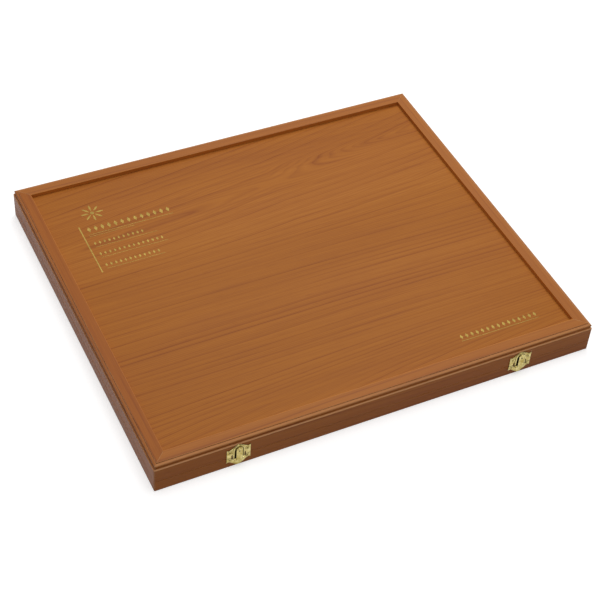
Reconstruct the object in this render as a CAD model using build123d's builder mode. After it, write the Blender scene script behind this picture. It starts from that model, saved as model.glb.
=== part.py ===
from build123d import *
from math import sqrt
import os

# A flat wooden case for pastel sticks, shut. All sizes are in millimetres. The origin is the
# middle of the underside, +X runs along the front, +Y goes to the hinged back and +Z is up.

# Case
case_length = 400.0
case_depth = 345.0
base_height = 11.1            # underside to parting line
lid_face_height = 13.6        # parting line to the ledge below the moulding
moulding_height = 4.9         # ledge to the flat rim
rail_width = 12.8             # outer face to inner wall, base and lid
corner_break = 0.8            # eased upright corners
edge_break = 0.4              # softened arrises at the parting line and underneath

# Moulding of the lid, measured inwards from the outer face
cove_inset = 1.5
cove_radius = 1.1
bead_radius = 1.45
bead_inset = 2.35
bead_drop = 0.4               # crest of the bead below the flat rim
quirk_inset = 3.45            # narrow groove between bead and rim

# Boards let into the rails
floor_thickness = 3.0
floor_rabbet = 6.4
panel_thickness = 4.0
panel_recess = 3.8
panel_groove = 6.0
board_play = 0.3              # sideways room of a board in its rabbet or groove
groove_play = 0.1

# Sticks and their trays
stick_length = 65.0
stick_width = 9.0
stick_play = 0.2
slot_wall_least = 6.0
tray_end_wall = 3.0
tray_floor = 1.2
tray_play = 0.4
trough_least = 6.0
slat_thickness = 3.0
slat_play = 0.2
pad_play = 0.3

# Butt hinges
hinge_inset = 80.0            # side of the case to the middle of a hinge
leaf_length = 38.0
leaf_width = 9.0
leaf_thickness = 0.9
leaf_shy = 0.1                # leaf below the surface of its rail
leaf_play = 0.1
knuckle_radius = 1.9
knuckle_count = 3
knuckle_gap = 0.2
barrel_gap = 0.3              # barrel clear of the back face and of the other leaf
hinge_pin_radius = 0.8
pin_play = 0.05               # hinge and catch pins in their knuckles
screw_radius = 1.0
screw_head_radius = 1.75
screw_length = 8.0
screw_spacing = 24.0          # between the two screws of a leaf
fastener_play = 0.06          # screws and nails in their holes
fastener_sides = 8            # screws and nails are too small to need full rounds

# Catches on the front
catch_inset = 70.8            # side of the case to the middle of a catch
plate_thickness = 0.6
plate_half_width = 10.2
plate_slit = 0.4              # gap between the two plates at the parting line
catch_floor_gap = 0.3         # underside to the lower plate's tip, before it is rounded
catch_ledge_over = 0.9        # upper plate's tip, before it is rounded, above the ledge
ear_drop = {1: 4.2, -1: 5.5}  # tip to the ears, upper plate and lower plate
shoulder_inset = 2.2
shoulder_drop = 1.1
apex_round = 3.0
scroll_x = 5.7
scroll_width = 1.1
scroll_break = 0.35
scroll_reach = {1: 2.9, -1: 2.3}
rim_inset = 4.3               # middle of the catch to the middle of its raised rim
rim_width = 1.3
rim_height = 0.9
rim_break = 0.4
rim_tip_gap = 1.3             # raised arch below the tip of the upper plate
nail_x = 7.6
nail_rise = {1: 6.6, -1: 2.1}  # parting line to the nails of each plate
nail_radius = 0.55
nail_head_radius = 0.95
nail_length = 6.0

# Tongue of a catch
tongue_width = 5.4
tongue_thickness = 0.8
tongue_lift = 1.2             # back of the tongue in front of the plates
tongue_tip_gap = 2.1          # tip of the tongue below the tip of the upper plate
pivot_drop = 1.5              # pivot below the parting line
tongue_barrel_radius = 1.05
tongue_barrel_gap = 0.15
tongue_pin_radius = 0.5
lug_thickness = 1.4
lug_gap = 0.3
lug_radius = 1.15
nub_radius = 1.4
nub_height = 0.9
nub_slope = 0.55              # how far the nub narrows towards its crown
nub_below_tip = 1.9
nub_sides = 16
eye_radius = 0.9
eye_below_tip = 4.1
stud_radius = 0.8
stud_break = 0.3
stud_gap = 0.1                # end of the stud behind the tongue

# Levels and faces that follow
ledge_z = base_height + lid_face_height
rim_z = ledge_z + moulding_height
panel_top = rim_z - panel_recess
panel_bottom = panel_top - panel_thickness
front_face = -case_depth / 2
back_face = case_depth / 2
inside_length = case_length - 2 * rail_width
inside_depth = case_depth - 2 * rail_width
up = Vector(0, 0, 1)

os.makedirs("parts", exist_ok=True)


def keep(piece, name):
    piece.part.label = name
    export_step(piece.part, f"parts/{name}.step")


# Rails. A section is drawn with x inwards from the outer face and y up from the underside.

sides = {
    "front": (Vector(0, 1, 0), case_depth / 2, case_length),
    "back": (Vector(0, -1, 0), case_depth / 2, case_length),
    "left": (Vector(1, 0, 0), case_length / 2, case_depth),
    "right": (Vector(-1, 0, 0), case_length / 2, case_depth),
}

with BuildSketch() as base_section:
    with BuildLine():
        Polyline(
            (edge_break, 0),
            (0, edge_break),
            (0, base_height - edge_break),
            (edge_break, base_height),
            (rail_width, base_height),
            (rail_width, floor_thickness),
            (rail_width - floor_rabbet, floor_thickness),
            (rail_width - floor_rabbet, 0),
            close=True,
        )
    make_face()

bead_z = rim_z - bead_drop - bead_radius
bead_start = bead_z - sqrt(bead_radius**2 - (bead_inset - cove_inset) ** 2)
bead_end = bead_z + sqrt(bead_radius**2 - (quirk_inset - bead_inset) ** 2)
half_turn_share = sqrt(0.5)

with BuildSketch() as lid_section:
    with BuildLine():
        Polyline(
            (edge_break, base_height),
            (0, base_height + edge_break),
            (0, ledge_z),
            (cove_inset - cove_radius, ledge_z),
        )
        ThreePointArc(
            (cove_inset - cove_radius, ledge_z),
            (
                cove_inset - cove_radius * (1 - half_turn_share),
                ledge_z + cove_radius * (1 - half_turn_share),
            ),
            (cove_inset, ledge_z + cove_radius),
        )
        Line((cove_inset, ledge_z + cove_radius), (cove_inset, bead_start))
        ThreePointArc(
            (cove_inset, bead_start),
            (bead_inset - bead_radius * half_turn_share, bead_z + bead_radius * half_turn_share),
            (quirk_inset, bead_end),
        )
        Polyline(
            (quirk_inset, bead_end),
            (quirk_inset, rim_z),
            (rail_width, rim_z),
            (rail_width, panel_top),
            (rail_width - panel_groove, panel_top),
            (rail_width - panel_groove, panel_bottom - groove_play),
            (rail_width, panel_bottom - groove_play),
            (rail_width, base_height),
            (edge_break, base_height),
        )
    make_face()


def mitred_rail(side, section):
    """A straight rail of one section, mitred at both ends, with the case's eased corners."""
    inward, reach, length = sides[side]
    along = inward.cross(up)
    outer_middle = inward * -reach
    with BuildPart() as rail:
        with BuildSketch(Plane(origin=outer_middle, x_dir=inward, z_dir=along)):
            add(section.sketch)
        extrude(amount=length / 2, both=True)
        with BuildSketch(Plane(origin=outer_middle, x_dir=along, z_dir=up)):
            with BuildLine():
                Polyline(
                    (-length / 2, 0),
                    (length / 2, 0),
                    (length / 2 - rail_width, rail_width),
                    (rail_width - length / 2, rail_width),
                    close=True,
                )
            make_face()
        extrude(amount=rim_z, mode=Mode.INTERSECT)
        with BuildSketch() as case_outline:
            Rectangle(case_length, case_depth)
            chamfer(case_outline.vertices(), length=corner_break)
        extrude(amount=rim_z, mode=Mode.INTERSECT)
    return rail.part


# Butt hinges: leaves mortised into the edges of the back rails, barrel just behind the case.

hinge_places = (hinge_inset - case_length / 2, case_length / 2 - hinge_inset)
axis_y = back_face + barrel_gap + knuckle_radius
axis_z = base_height
knuckle_pitch = leaf_length / knuckle_count
hinge_screw_y = back_face - leaf_width / 2
half_spacing = screw_spacing / 2


def sunk_fastener(head_radius, shank_radius, length, play=0.0):
    """Countersunk pin pointing down from the origin or, with play, the hole that takes it."""
    neck = Plane.XY.offset(shank_radius - head_radius)
    with BuildPart() as pin:
        with BuildSketch():
            RegularPolygon(head_radius + play, fastener_sides)
        with BuildSketch(neck):
            RegularPolygon(shank_radius + play, fastener_sides)
        loft()
        with BuildSketch(neck):
            RegularPolygon(shank_radius + play, fastener_sides)
        extrude(amount=head_radius - shank_radius - length - play)
    return pin.part


screw = sunk_fastener(screw_head_radius, screw_radius, screw_length)
screw_hole = sunk_fastener(screw_head_radius, screw_radius, screw_length, fastener_play)


def screw_planes(place, way):
    """Planes at the screws of one leaf: way -1 is the base's leaf and 1 the lid's."""
    return [
        Plane(origin=(x, hinge_screw_y, axis_z + way * leaf_shy), z_dir=(0, 0, -way))
        for x in (place - half_spacing, place + half_spacing)
    ]


def hinge_leaf(place, way):
    """One leaf with its knuckles, which alternate with those of the other leaf."""
    first = 0 if way < 0 else 1
    left_end = place - leaf_length / 2
    with BuildPart() as leaf:
        with BuildSketch(Plane.XY.offset(axis_z + way * leaf_shy)):
            with Locations((place, back_face - leaf_width / 2)):
                Rectangle(leaf_length, leaf_width)
        extrude(amount=leaf_thickness, dir=(0, 0, way))
        for knuckle in range(first, knuckle_count, 2):
            start = left_end + knuckle * knuckle_pitch + knuckle_gap / 2
            with BuildSketch(Plane.YZ.offset(start)):
                with Locations((axis_y, axis_z)):
                    Circle(knuckle_radius)
                with BuildLine():
                    Polyline(
                        (back_face, axis_z + way * leaf_shy),
                        (axis_y, axis_z + way * leaf_shy),
                        (axis_y, axis_z + way * (leaf_shy + leaf_thickness)),
                        (back_face, axis_z + way * (leaf_shy + leaf_thickness)),
                        close=True,
                    )
                make_face()
            extrude(amount=knuckle_pitch - knuckle_gap)
        with BuildSketch(Plane.YZ.offset(left_end)):
            with Locations((axis_y, axis_z)):
                Circle(hinge_pin_radius + pin_play)
        extrude(amount=leaf_length, mode=Mode.SUBTRACT)
        with Locations(*screw_planes(place, way)):
            add(screw_hole, mode=Mode.SUBTRACT)
    return leaf


def hinge_pin(place):
    with BuildPart() as pin:
        with BuildSketch(Plane.YZ.offset(place - leaf_length / 2)):
            with Locations((axis_y, axis_z)):
                Circle(hinge_pin_radius)
        extrude(amount=leaf_length)
    return pin


def screws(way):
    with BuildPart() as group:
        for place in hinge_places:
            with Locations(*screw_planes(place, way)):
                add(screw)
    return group


def hinge_seats(way):
    """Mortises and pilot holes of both hinges, as solids to cut from a back rail."""
    with BuildPart() as seats:
        with BuildSketch(Plane.XY.offset(axis_z)):
            with Locations(*[(x, back_face - leaf_width / 2) for x in hinge_places]):
                Rectangle(leaf_length + 2 * leaf_play, leaf_width + 2 * leaf_play)
        extrude(amount=leaf_shy + leaf_thickness, dir=(0, 0, way))
        for place in hinge_places:
            with Locations(*screw_planes(place, way)):
                add(screw_hole)
    return seats.part


# Catches: local x along the front, y up from the parting line, z out of the front face.

catch_places = {
    "left": catch_inset - case_length / 2,
    "right": case_length / 2 - catch_inset,
}
reach = {1: lid_face_height + catch_ledge_over, -1: base_height - catch_floor_gap}
tongue_tip = reach[1] - tongue_tip_gap
pin_out = plate_thickness + tongue_barrel_gap + tongue_barrel_radius


def catch_plane(place, out=0.0):
    return Plane(
        origin=(place, front_face - out, base_height), x_dir=(1, 0, 0), z_dir=(0, -1, 0)
    )


def plate_outline(way):
    """Flat outline of one plate: way 1 points up, on the lid, and -1 down, on the base."""
    tip = way * reach[way]
    corner = way * (reach[way] - ear_drop[way])
    shoulder_x = plate_half_width - shoulder_inset
    shoulder = corner - way * shoulder_drop
    slit = way * plate_slit / 2
    with BuildSketch() as outline:
        with BuildLine():
            Polyline((0, slit), (plate_half_width, slit), (plate_half_width, corner))
            ThreePointArc(
                (plate_half_width, corner),
                (plate_half_width - shoulder_inset * 0.42, corner - way * shoulder_drop * 0.85),
                (shoulder_x, shoulder),
            )
            Line((shoulder_x, shoulder), (0, tip))
            mirror(about=Plane.YZ)
        make_face()
        fillet(outline.vertices().sort_by(Axis.Y)[-1 if way > 0 else 0], radius=apex_round)
        with BuildSketch(mode=Mode.PRIVATE) as cut:
            Rectangle(scroll_width, 2 * scroll_reach[way])
            chamfer(cut.vertices(), length=scroll_break)
        with Locations((scroll_x, slit), (-scroll_x, slit)):
            add(cut.sketch, mode=Mode.SUBTRACT)
    return outline.sketch


def catch_plate(place, way):
    """Stamped plate with a raised rim beside the tongue and countersunk nail holes."""
    slit = way * plate_slit / 2
    rim_outer = rim_inset + rim_width / 2
    rim_inner = rim_inset - rim_width / 2
    with BuildPart() as plate:
        with BuildSketch(catch_plane(place)):
            add(plate_outline(way))
        extrude(amount=plate_thickness)
        with BuildSketch(catch_plane(place)) as rim:
            if way > 0:
                arch = reach[way] - rim_tip_gap - rim_outer
                with Locations((0, arch)):
                    Circle(rim_outer)
                    Circle(rim_inner, mode=Mode.SUBTRACT)
                    lower_half = (Align.CENTER, Align.MAX)
                    Rectangle(2 * rim_outer, rim_outer, align=lower_half, mode=Mode.SUBTRACT)
                straight = arch - slit
            else:
                straight = -pivot_drop - slit
            with Locations((rim_inset, slit + straight / 2), (-rim_inset, slit + straight / 2)):
                Rectangle(rim_width, abs(straight))
        extrude(amount=plate_thickness + rim_height)
        if way > 0:
            crest = plate.faces().group_by(Axis.Y)[0]
            chamfer(crest.edges().filter_by(lambda edge: edge.length > rim_width + 0.1), length=rim_break)
        if way < 0:
            for start in (tongue_width / 2 + lug_gap, -tongue_width / 2 - lug_gap - lug_thickness):
                with BuildSketch(Plane.YZ.offset(place + start)):
                    with Locations((front_face - pin_out, base_height - pivot_drop)):
                        Circle(lug_radius)
                        Rectangle(pin_out, 2 * lug_radius, align=(Align.MIN, Align.CENTER))
                extrude(amount=lug_thickness)
            with BuildSketch(Plane.YZ.offset(place - plate_half_width)):
                with Locations((front_face - pin_out, base_height - pivot_drop)):
                    Circle(tongue_pin_radius + pin_play)
            extrude(amount=2 * plate_half_width, mode=Mode.SUBTRACT)
        with Locations(*nail_planes(place, way)):
            add(nail_hole, mode=Mode.SUBTRACT)
    return plate


def nail_planes(place, way):
    """Planes at the nails of one plate, on its front and facing out."""
    return [
        Plane(
            origin=(place + x, front_face - plate_thickness, base_height + way * nail_rise[way]),
            z_dir=(0, -1, 0),
        )
        for x in (-nail_x, nail_x)
    ]


nail = sunk_fastener(nail_head_radius, nail_radius, nail_length)
nail_hole = sunk_fastener(nail_head_radius, nail_radius, nail_length, fastener_play)


def nails(way):
    with BuildPart() as group:
        for place in catch_places.values():
            with Locations(*nail_planes(place, way)):
                add(nail)
    return group


def catch_stud(place):
    """Stud riveted to the upper plate, behind the eye of the tongue."""
    with BuildPart() as stud:
        with BuildSketch(catch_plane(place, plate_thickness)):
            with Locations((0, tongue_tip - eye_below_tip)):
                RegularPolygon(stud_radius, fastener_sides)
        extrude(amount=tongue_lift - stud_gap)
        chamfer(stud.faces().sort_by(Axis.Y)[0].edges(), length=stud_break)
    return stud


def catch_tongue(place):
    """Tongue with a rolled barrel at its foot, an eye, and a pressed nub to pull it by."""
    pivot_z = base_height - pivot_drop
    tip_rise = tongue_tip + pivot_drop
    back = Plane(
        origin=(place, front_face - plate_thickness - tongue_lift, pivot_z),
        x_dir=(1, 0, 0),
        z_dir=(0, -1, 0),
    )
    front = back.offset(tongue_thickness)
    with BuildPart() as tongue:
        with BuildSketch(back):
            straight = tip_rise - tongue_width / 2
            Rectangle(tongue_width, straight, align=(Align.CENTER, Align.MIN))
            with Locations((0, straight)):
                Circle(tongue_width / 2)
            with Locations((0, tip_rise - eye_below_tip)):
                RegularPolygon(eye_radius, fastener_sides, mode=Mode.SUBTRACT)
        extrude(amount=tongue_thickness)
        for out, radius in ((0, nub_radius), (nub_height, nub_radius - nub_slope)):
            with BuildSketch(front.offset(out)):
                with Locations((0, tip_rise - nub_below_tip)):
                    RegularPolygon(radius, nub_sides)
        loft()
        pin_y = front_face - pin_out
        with BuildSketch(Plane.YZ.offset(place - tongue_width / 2)):
            with Locations((pin_y, pivot_z)):
                Circle(tongue_barrel_radius)
        extrude(amount=tongue_width)
        with BuildSketch(Plane.YZ.offset(place - tongue_width / 2)):
            with Locations((pin_y, pivot_z)):
                Circle(tongue_pin_radius + pin_play)
        extrude(amount=tongue_width, mode=Mode.SUBTRACT)
    return tongue


def catch_hinge_pin(place):
    half = tongue_width / 2 + lug_gap + lug_thickness
    with BuildPart() as pin:
        with BuildSketch(Plane.YZ.offset(place - half)):
            with Locations((front_face - pin_out, base_height - pivot_drop)):
                Circle(tongue_pin_radius)
        extrude(amount=2 * half)
    return pin


def nail_pilots(way):
    """Pilot holes of the nails, as solids to cut from a front rail."""
    with BuildPart() as pilots:
        for place in catch_places.values():
            with Locations(*nail_planes(place, way)):
                add(nail_hole)
    return pilots.part


# Base

with BuildPart() as base_front_rail:
    add(mitred_rail("front", base_section))
    add(nail_pilots(-1), mode=Mode.SUBTRACT)
keep(base_front_rail, "base_front_rail")

with BuildPart() as base_back_rail:
    add(mitred_rail("back", base_section))
    add(hinge_seats(-1), mode=Mode.SUBTRACT)
keep(base_back_rail, "base_back_rail")

for side in ("left", "right"):
    with BuildPart() as base_side_rail:
        add(mitred_rail(side, base_section))
    keep(base_side_rail, f"base_{side}_rail")

with BuildPart() as base_floor_panel:
    floor_reach = 2 * (floor_rabbet - board_play)
    with BuildSketch():
        Rectangle(inside_length + floor_reach, inside_depth + floor_reach)
    extrude(amount=floor_thickness)
keep(base_floor_panel, "base_floor_panel")

# Trays in rows from front to back, each with a row of slots, and slats that space them

slot_length = stick_length + 2 * stick_play
slot_width = stick_width + 2 * stick_play
tray_length = inside_length - 2 * tray_play
tray_depth = slot_length + 2 * tray_end_wall
tray_height = base_height - floor_thickness
tray_count = int((inside_depth - 2 * tray_play + trough_least) // (tray_depth + trough_least))
row_pitch = (inside_depth - 2 * tray_play - tray_depth) / (tray_count - 1)
slot_count = int(tray_length // (slot_width + slot_wall_least))
slot_pitch = tray_length / slot_count
stick_z = floor_thickness + tray_floor
first_row = front_face + rail_width + tray_play + tray_depth / 2

for row in range(tray_count):
    row_y = first_row + row * row_pitch
    with BuildPart() as tray:
        with BuildSketch(Plane.XY.offset(floor_thickness)):
            with Locations((0, row_y)):
                Rectangle(tray_length, tray_depth)
        extrude(amount=tray_height)
        with BuildSketch(Plane.XY.offset(stick_z)):
            with Locations((0, row_y)):
                with GridLocations(slot_pitch, 0, slot_count, 1):
                    Rectangle(slot_width, slot_length)
        extrude(amount=base_height - stick_z, mode=Mode.SUBTRACT)
    keep(tray, f"pastel_tray_{row + 1}")
    with BuildPart() as sticks:
        with BuildSketch(Plane.XY.offset(stick_z)):
            with Locations((0, row_y)):
                with GridLocations(slot_pitch, 0, slot_count, 1):
                    Rectangle(stick_width, stick_length)
        extrude(amount=stick_width)
    keep(sticks, f"pastel_row_{row + 1}")

slat_width = row_pitch - tray_depth - 2 * slat_play
with BuildPart() as tray_spacer_slats:
    with BuildSketch(Plane.XY.offset(floor_thickness)):
        with Locations(*[(0, first_row + (row + 0.5) * row_pitch) for row in range(tray_count - 1)]):
            Rectangle(tray_length, slat_width)
    extrude(amount=slat_thickness)
keep(tray_spacer_slats, "tray_spacer_slats")

# Lid

with BuildPart() as lid_front_rail:
    add(mitred_rail("front", lid_section))
    add(nail_pilots(1), mode=Mode.SUBTRACT)
keep(lid_front_rail, "lid_front_rail")

with BuildPart() as lid_back_rail:
    add(mitred_rail("back", lid_section))
    add(hinge_seats(1), mode=Mode.SUBTRACT)
keep(lid_back_rail, "lid_back_rail")

for side in ("left", "right"):
    with BuildPart() as lid_side_rail:
        add(mitred_rail(side, lid_section))
    keep(lid_side_rail, f"lid_{side}_rail")

with BuildPart() as lid_panel:
    panel_reach = 2 * (panel_groove - board_play)
    with BuildSketch(Plane.XY.offset(panel_bottom)):
        Rectangle(inside_length + panel_reach, inside_depth + panel_reach)
    extrude(amount=panel_thickness)
keep(lid_panel, "lid_panel")

with BuildPart() as lid_foam_pad:
    pad_bottom = stick_z + stick_width + pad_play
    with BuildSketch(Plane.XY.offset(pad_bottom)):
        Rectangle(inside_length - 2 * pad_play, inside_depth - 2 * pad_play)
    extrude(amount=panel_bottom - pad_bottom)
keep(lid_foam_pad, "lid_foam_pad")

# Hinges and catches

for side, place in zip(("left", "right"), hinge_places):
    keep(hinge_leaf(place, -1), f"hinge_{side}_base_leaf")
    keep(hinge_leaf(place, 1), f"hinge_{side}_lid_leaf")
    keep(hinge_pin(place), f"hinge_{side}_pin")
keep(screws(-1), "hinge_base_screws")
keep(screws(1), "hinge_lid_screws")

for side, place in catch_places.items():
    keep(catch_plate(place, -1), f"catch_{side}_lower_plate")
    keep(catch_plate(place, 1), f"catch_{side}_upper_plate")
    keep(catch_stud(place), f"catch_{side}_stud")
    keep(catch_tongue(place), f"catch_{side}_tongue")
    keep(catch_hinge_pin(place), f"catch_{side}_hinge_pin")
keep(nails(-1), "catch_lower_nails")
keep(nails(1), "catch_upper_nails")
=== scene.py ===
from math import cos, pi, radians, sin

import bmesh
import bpy
from mathutils import Matrix, Vector


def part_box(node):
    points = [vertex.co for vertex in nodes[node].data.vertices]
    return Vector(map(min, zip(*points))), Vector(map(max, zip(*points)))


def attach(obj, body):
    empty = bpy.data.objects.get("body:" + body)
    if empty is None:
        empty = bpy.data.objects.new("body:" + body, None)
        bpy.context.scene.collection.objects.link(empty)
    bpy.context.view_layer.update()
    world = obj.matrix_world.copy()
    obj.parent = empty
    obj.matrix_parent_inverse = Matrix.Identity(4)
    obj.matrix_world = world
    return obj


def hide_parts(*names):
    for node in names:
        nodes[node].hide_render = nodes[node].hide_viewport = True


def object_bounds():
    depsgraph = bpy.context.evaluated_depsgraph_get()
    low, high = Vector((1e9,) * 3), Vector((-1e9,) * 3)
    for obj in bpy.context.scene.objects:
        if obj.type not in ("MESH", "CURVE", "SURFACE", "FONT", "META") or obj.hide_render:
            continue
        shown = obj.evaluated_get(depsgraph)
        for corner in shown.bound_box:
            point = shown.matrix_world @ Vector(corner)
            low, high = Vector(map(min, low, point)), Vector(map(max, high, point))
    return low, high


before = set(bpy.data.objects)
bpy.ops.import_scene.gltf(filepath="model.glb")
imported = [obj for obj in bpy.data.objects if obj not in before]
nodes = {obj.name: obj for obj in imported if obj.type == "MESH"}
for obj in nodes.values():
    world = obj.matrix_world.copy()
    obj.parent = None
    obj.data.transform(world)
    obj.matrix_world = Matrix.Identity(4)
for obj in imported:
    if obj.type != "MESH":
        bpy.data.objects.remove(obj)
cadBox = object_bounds()
print("frame loaded")

# camera

view = {
    "place": (-0.46115, -0.85891, 0.95343),
    "turn": (44.793, -3.314, -25.359),  # degrees
    "lens": 91.985,                     # millimetres
}
camera = bpy.data.objects.new("viewCamera", bpy.data.cameras.new("viewCamera"))
camera.data.lens = view["lens"]
camera.location = view["place"]
camera.rotation_euler = [radians(angle) for angle in view["turn"]]
bpy.context.scene.collection.objects.link(camera)
bpy.context.scene.camera = camera
bpy.context.scene.view_settings.view_transform = "Standard"


# node trees


class NodeDesk:
    # one node tree, with short calls for the nodes used most here
    def __init__(self, tree):
        self.tree = tree
        tree.nodes.clear()

    def add(self, kind, inputs=None, **settings):
        node = self.tree.nodes.new(kind)
        for key, value in settings.items():
            setattr(node, key, value)
        for key, value in (inputs or {}).items():
            self.plug(node.inputs[key], value)
        return node

    def plug(self, socket, value):
        if isinstance(value, bpy.types.NodeSocket):
            self.tree.links.new(value, socket)
        else:
            socket.default_value = value

    def math(self, operation, first, second=0.0, third=None, clamp=False):
        inputs = {0: first, 1: second}
        if third is not None:
            inputs[2] = third
        return self.add("ShaderNodeMath", inputs, operation=operation, use_clamp=clamp).outputs[0]

    def sway(self, value, field, reach):
        # value moved up and down by a field whose mean is 0.5
        return self.math("MULTIPLY_ADD", self.math("SUBTRACT", field, 0.5), reach, value)

    def vector(self, operation, first, second):
        node = self.add("ShaderNodeVectorMath", {0: first, 1: second}, operation=operation)
        return node.outputs["Value" if operation == "DOT_PRODUCT" else "Vector"]

    def objectSpot(self):
        return self.add("ShaderNodeTexCoord").outputs["Object"]

    def separate(self, spot):
        return self.add("ShaderNodeSeparateXYZ", {0: spot}).outputs[:3]

    def noise(self, spot, cells, detail=2.0, roughness=0.5):
        # cells are the noise's cells in a metre, along each axis
        scaled = self.vector("MULTIPLY", spot, cells)
        inputs = {"Vector": scaled, "Scale": 1.0, "Detail": detail, "Roughness": roughness}
        return self.add("ShaderNodeTexNoise", inputs).outputs[0]

    def spread(self, value, fromLow, fromHigh, toLow=0.0, toHigh=1.0):
        inputs = {0: value, 1: fromLow, 2: fromHigh, 3: toLow, 4: toHigh}
        return self.add("ShaderNodeMapRange", inputs, clamp=True).outputs[0]

    def ramp(self, factor, stops):
        node = self.add("ShaderNodeValToRGB", {0: factor})
        band = node.color_ramp
        for place, colour in stops[2:]:
            band.elements.new(place)
        for element, (place, colour) in zip(band.elements, stops):
            element.position = place
        for element, (place, colour) in zip(band.elements, stops):
            element.color = (*colour, 1.0)
        return node.outputs[0]

    def mix(self, factor, first, second, blend="MIX"):
        # first and second are sockets, or colours as three linear values
        inputs = {0: factor}
        for key, colour in ((6, first), (7, second)):
            inputs[key] = colour if isinstance(colour, bpy.types.NodeSocket) else (*colour, 1.0)
        return self.add("ShaderNodeMix", inputs, data_type="RGBA", blend_type=blend).outputs[2]

    def rounded(self, radius, samples=4):
        return self.add("ShaderNodeBevel", {"Radius": radius}, samples=samples).outputs[0]

    def edges(self, roundedNormal, low, high):
        # 0 on flat faces, and up to 1 where the rounded normal turns away from the face's own
        trueNormal = self.add("ShaderNodeNewGeometry").outputs["True Normal"]
        turned = self.math("SUBTRACT", 1.0, self.vector("DOT_PRODUCT", roundedNormal, trueNormal))
        return self.spread(turned, low, high)

    def hollows(self, distance, openness, share):
        # 0 on open faces, and up to the share in corners within the distance
        shelter = self.add("ShaderNodeAmbientOcclusion", {"Distance": distance}, samples=8)
        return self.math("MULTIPLY", self.spread(shelter.outputs["AO"], *openness), share)

    def bump(self, height, look, normal=None):
        inputs = {"Strength": look["reliefShare"], "Distance": look["relief"], "Height": height}
        if normal is not None:
            inputs["Normal"] = normal
        return self.add("ShaderNodeBump", inputs).outputs[0]


def newMaterial(name):
    material = bpy.data.materials.new(name)
    material.use_nodes = True
    return material, NodeDesk(material.node_tree)


def finishSurface(desk, colour, roughness, normal, **constants):
    inputs = {"Base Color": colour, "Roughness": roughness, "Normal": normal}
    shader = desk.add("ShaderNodeBsdfPrincipled", inputs)
    for name, value in constants.items():
        shader.inputs[name.replace("_", " ")].default_value = value
    desk.add("ShaderNodeOutputMaterial", {"Surface": shader.outputs[0]})


def shade(hexCode):
    # a written sRGB colour as the linear values that the nodes take
    values = [int(hexCode[i:i + 2], 16) / 255 for i in (0, 2, 4)]
    return tuple(v / 12.92 if v <= 0.04045 else ((v + 0.055) / 1.055) ** 2.4 for v in values)


def greys(points):
    # stops of a ramp, from pairs of a place and a level
    return [(place, (level,) * 3) for place, level in points]


# wood

# each noise: its cells in a metre along the grain, across it and into the board, detail and roughness
woodNoise = {
    "warp": ((1.6, 5.5, 5.5), 1.0, 0.5),
    "crowd": ((1.2, 70.0, 70.0), 1.0, 0.5),
    "wobble": ((9.0, 40.0, 40.0), 2.0, 0.5),
    "band": ((1.1, 15.0, 15.0), 3.0, 0.55),
    "streak": ((6.0, 240.0, 240.0), 2.0, 0.5),
    "fibre": ((26.0, 950.0, 950.0), 3.0, 0.65),
    "pore": ((70.0, 1700.0, 1700.0), 1.0, 0.5),
    "patch": ((3.5, 11.0, 11.0), 2.0, 0.5),
    "wear": ((60.0, 160.0, 160.0), 3.0, 0.5),
}

# growth lines, from one step of the growth field to the next
growthLine = {
    "shape": ((0.0, 0.3), (0.07, 0.0), (0.50, 0.05), (0.78, 0.35), (0.92, 1.0), (1.0, 0.3)),
    "fineShape": ((0.0, 0.2), (0.45, 0.0), (0.9, 1.0), (1.0, 0.2)),
    "finer": 3.7,                 # fine lines for each line
    "cells": 3.5,                 # how often a line fades in a metre
    "apart": 7.31,                # sets the fading of one line off from the next one's
    "fading": (0.34, 0.66, 0.04, 1.0),  # from the noise's low and high to a line's least and full strength
}

# a flat-sawn board: rings about an axis under the face, which slants over the board's back half
archFigure = {
    "axis": 0.1037,               # how far back it lies
    "slant": 0.15,
    "slantFrom": -0.01,
    "slantTo": 0.095,
    "slantAbout": 0.031,          # where along the board the slant moves nothing
    "depth": 0.0228,              # of the axis at the board's middle
    "depthSlope": -0.09,          # it comes nearer to the right, where the arches close
    "shallowest": 0.004,
    "deepest": 0.0205,
    "frontFrom": -0.100,          # lines near the front edge run aslant
    "frontTo": -0.150,
    "frontSlope": 0.13,
    "frontStart": -0.2,
}

# the other boards: wide rings about an axis beside and below them
plainFigure = {"beside": 0.05, "below": 0.11}

# the lid's moulding, in places of the frame
moulding = {
    "rim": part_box("lid_front_rail")[1].z,
    # its ledge and its bead, where a highlight is painted: how far below the rim, and how far the painted
    # highlight reaches
    "highlightBands": ((0.00495, 0.0006), (0.0008, 0.0010)),
    # the walls round the sunk field, painted lighter for the light they catch from it
    "wallX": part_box("lid_right_rail")[0].x,
    "wallY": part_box("lid_back_rail")[0].y,
    "wallFoot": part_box("lid_panel")[1].z,
    "footMargin": 0.0002,
    "wallRange": (0.0001, 0.0004),
    "wallPaintedLight": (1.65, 1.85, 1.70),
}

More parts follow.
